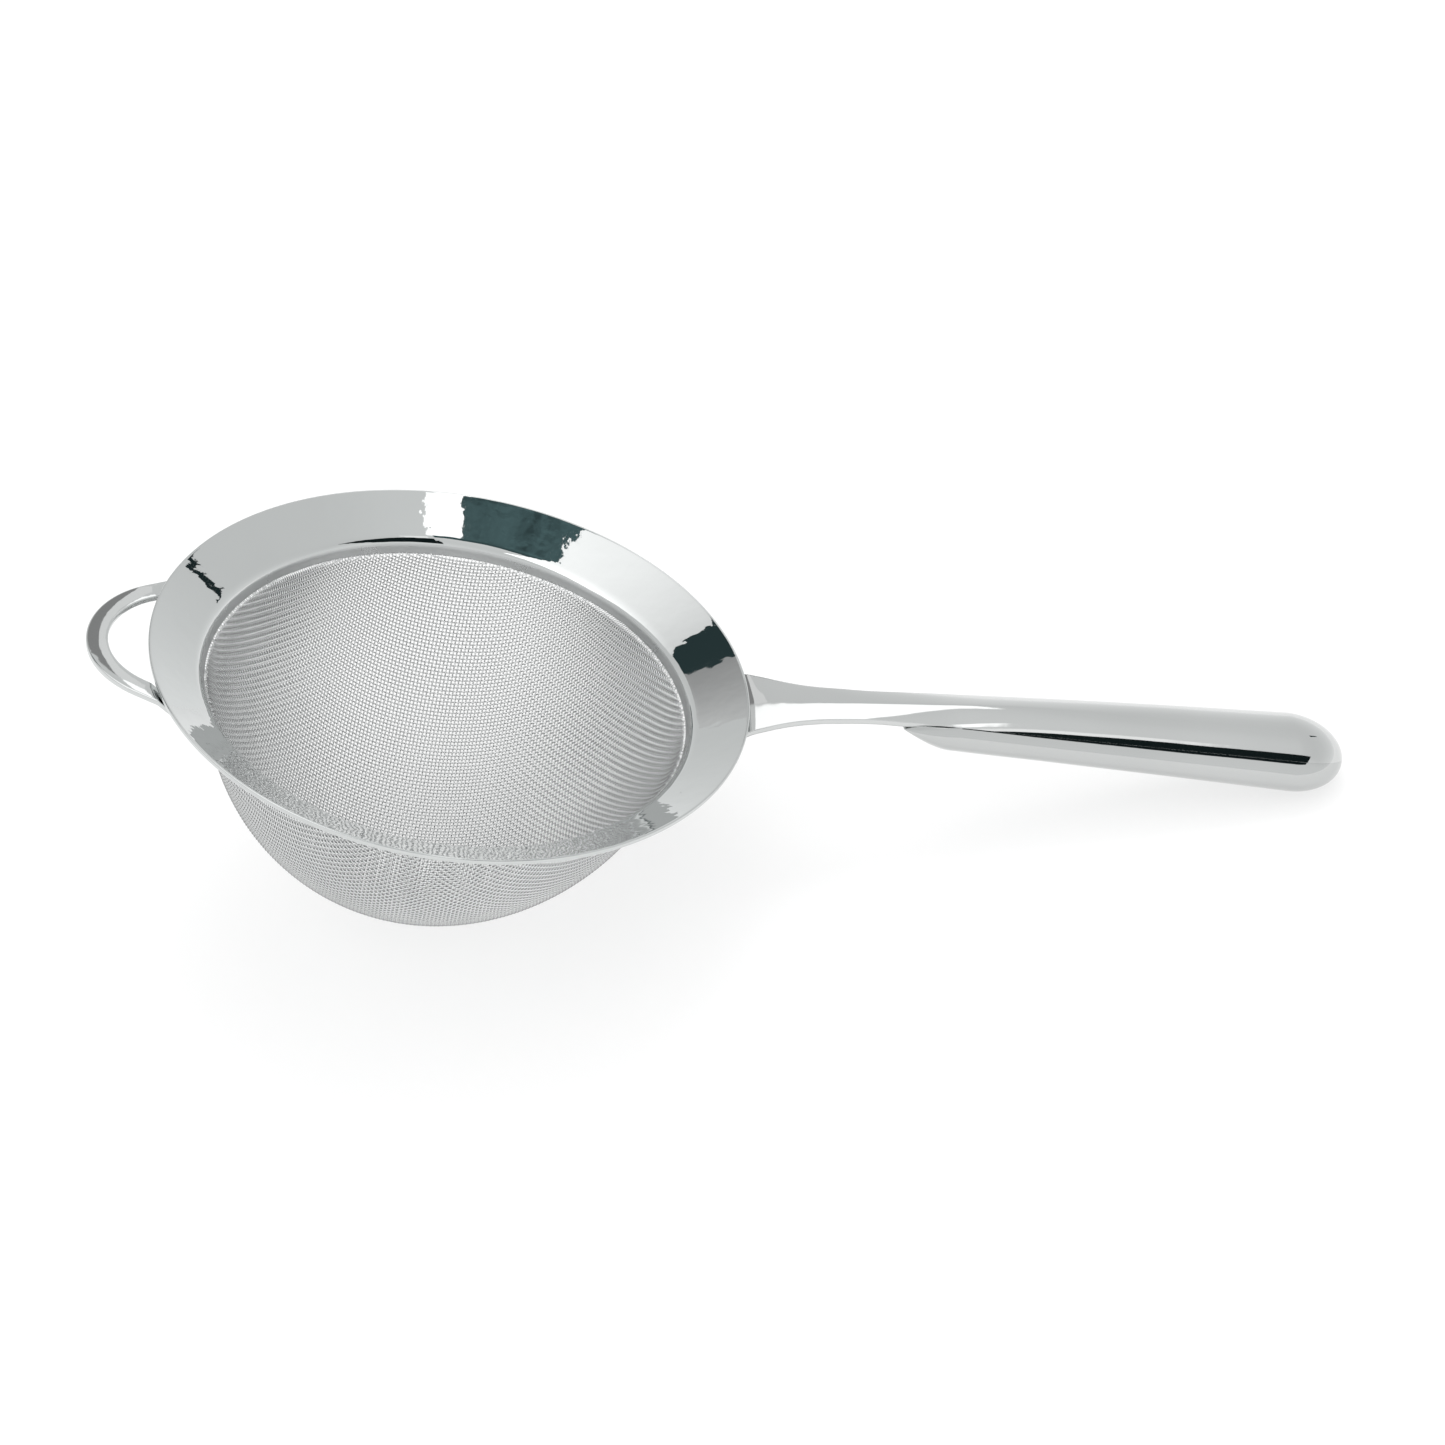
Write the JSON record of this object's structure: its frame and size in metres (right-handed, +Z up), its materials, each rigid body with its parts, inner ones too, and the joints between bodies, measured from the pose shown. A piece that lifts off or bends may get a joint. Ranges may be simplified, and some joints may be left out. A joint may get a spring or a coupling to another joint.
{
  "type": "tea strainer",
  "caption": "Long-handled steel tea strainer: woven gauze bowl in a wide sloping rim, with a hollow handle and a small rest loop opposite it.",
  "frame": {"origin": "centre of the bounding box at the floor, under the middle of the length", "axes": "+Z up from the floor the strainer lies on, +X from the rest loop towards the handle end, which lies lower than the rim"},
  "size_m": [0.2046, 0.0984, 0.0585],
  "materials": {
    "polished_rim": "mirror-polished stainless steel",
    "wire_gauze": "bright drawn stainless wire, woven",
    "polished_loop": "mirror-polished stainless steel",
    "polished_neck": "mirror-polished stainless steel",
    "polished_belly": "mirror-polished stainless steel"
  },
  "bodies": {
    "root": {"rim_flange": "polished_rim", "mesh_bowl": "wire_gauze", "rest_loop": "polished_loop", "handle_upper_shell": "polished_neck", "handle_lower_shell": "polished_belly"}
  },
  "joints": []
}
